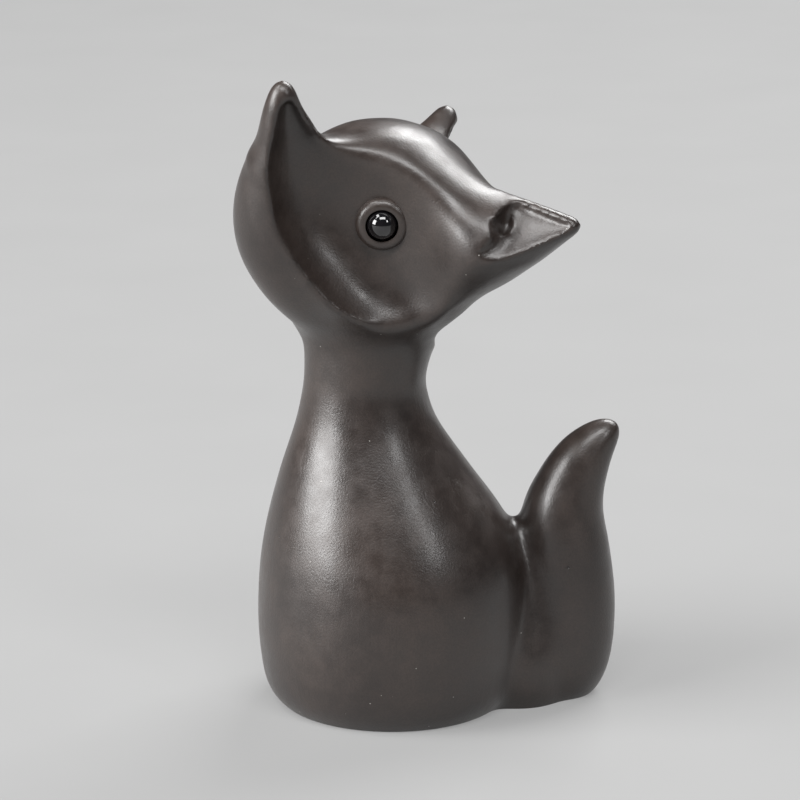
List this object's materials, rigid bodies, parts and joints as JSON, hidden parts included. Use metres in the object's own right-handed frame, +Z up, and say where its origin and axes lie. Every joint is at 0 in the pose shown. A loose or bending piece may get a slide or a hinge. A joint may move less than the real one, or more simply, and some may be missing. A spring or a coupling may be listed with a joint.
{
  "type": "fox tea pet figurine",
  "caption": "Small seated fox figurine in unglazed dark clay, with dished cheeks round black bead eyes, a turned head and a raised tail. Stands on a flat sole.",
  "frame": {"origin": "on the flat sole, under the middle of the round haunches", "axes": "+Z up; +X from the body to the tail; the muzzle turns from +X 30 degrees towards -Y"},
  "size_m": [0.0526, 0.0436, 0.0898],
  "materials": {
    "clay": "unglazed dark brown stoneware clay, burnished to a satin sheen",
    "black_bead": "glossy black"
  },
  "bodies": {
    "root": {"clay_body": "clay", "near_eye_bead": "black_bead", "far_eye_bead": "black_bead"}
  },
  "joints": []
}
